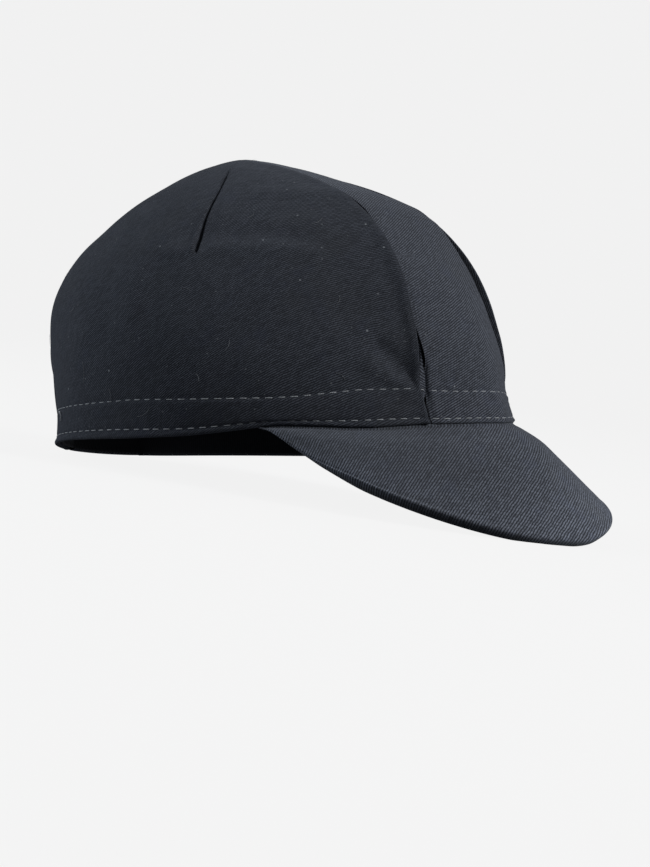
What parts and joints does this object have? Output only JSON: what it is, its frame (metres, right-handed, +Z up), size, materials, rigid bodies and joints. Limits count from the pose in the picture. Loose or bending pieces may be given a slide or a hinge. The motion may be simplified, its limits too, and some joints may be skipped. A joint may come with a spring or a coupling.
{
  "type": "cycling cap",
  "caption": "Soft cloth cycling cap: side panels and a centre strip sewn to a hem, an inner sweatband and a short stiffened peak that slopes down at the front.",
  "frame": {"origin": "middle of the bounding box's footprint, on the surface that the cap rests on", "axes": "+Z up, -Y to the front, where the peak points, +X towards the wearer's left side"},
  "size_m": [0.1768, 0.2438, 0.1267],
  "materials": {
    "crown_cloth": "soft cotton twill, matt, faintly brushed",
    "peak_cloth": "cotton twill stretched over a stiffener, matt",
    "sweatband_tape": "ribbed cotton tape, matt"
  },
  "bodies": {
    "root": {"crown_side_right": "crown_cloth", "crown_side_left": "crown_cloth", "crown_centre_strip": "crown_cloth", "peak": "peak_cloth", "sweatband": "sweatband_tape"}
  },
  "joints": []
}
